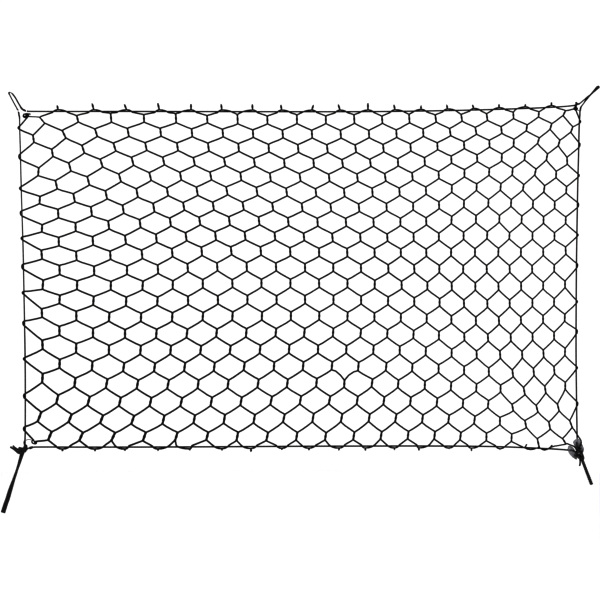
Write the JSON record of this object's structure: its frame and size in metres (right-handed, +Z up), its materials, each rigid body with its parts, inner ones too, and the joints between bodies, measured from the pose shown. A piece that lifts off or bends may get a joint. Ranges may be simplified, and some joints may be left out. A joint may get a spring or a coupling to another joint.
{
  "type": "cargo net",
  "caption": "Stretched cargo net: a knotless six-sided mesh reeved on a border cord, with a hanging loop at each upper corner and a knotted tie at each lower one.",
  "frame": {"origin": "centre of the border cord at the middle of its top run", "axes": "+X to the right along the top run, +Z up, front towards -Y"},
  "size_m": [1.0782, 0.0168, 0.7696],
  "materials": {
    "black_twine": "matt braided twine",
    "black_cord": "matt braided cord",
    "black_braid": "matt flat braid",
    "grey_tape": "satin smoke-grey film",
    "clear_thread": "clear thin thread"
  },
  "bodies": {
    "root": {"net_panel": "black_twine", "border_cord": "black_cord", "tie_left": "black_braid", "tie_right": "black_braid", "tie_knot_left": "black_braid", "tie_knot_right": "black_braid", "tape_up": "grey_tape", "tape_left": "grey_tape", "tape_right": "grey_tape", "thread_upper_left": "clear_thread", "thread_upper_right": "clear_thread", "thread_lower_left": "clear_thread"}
  },
  "joints": []
}
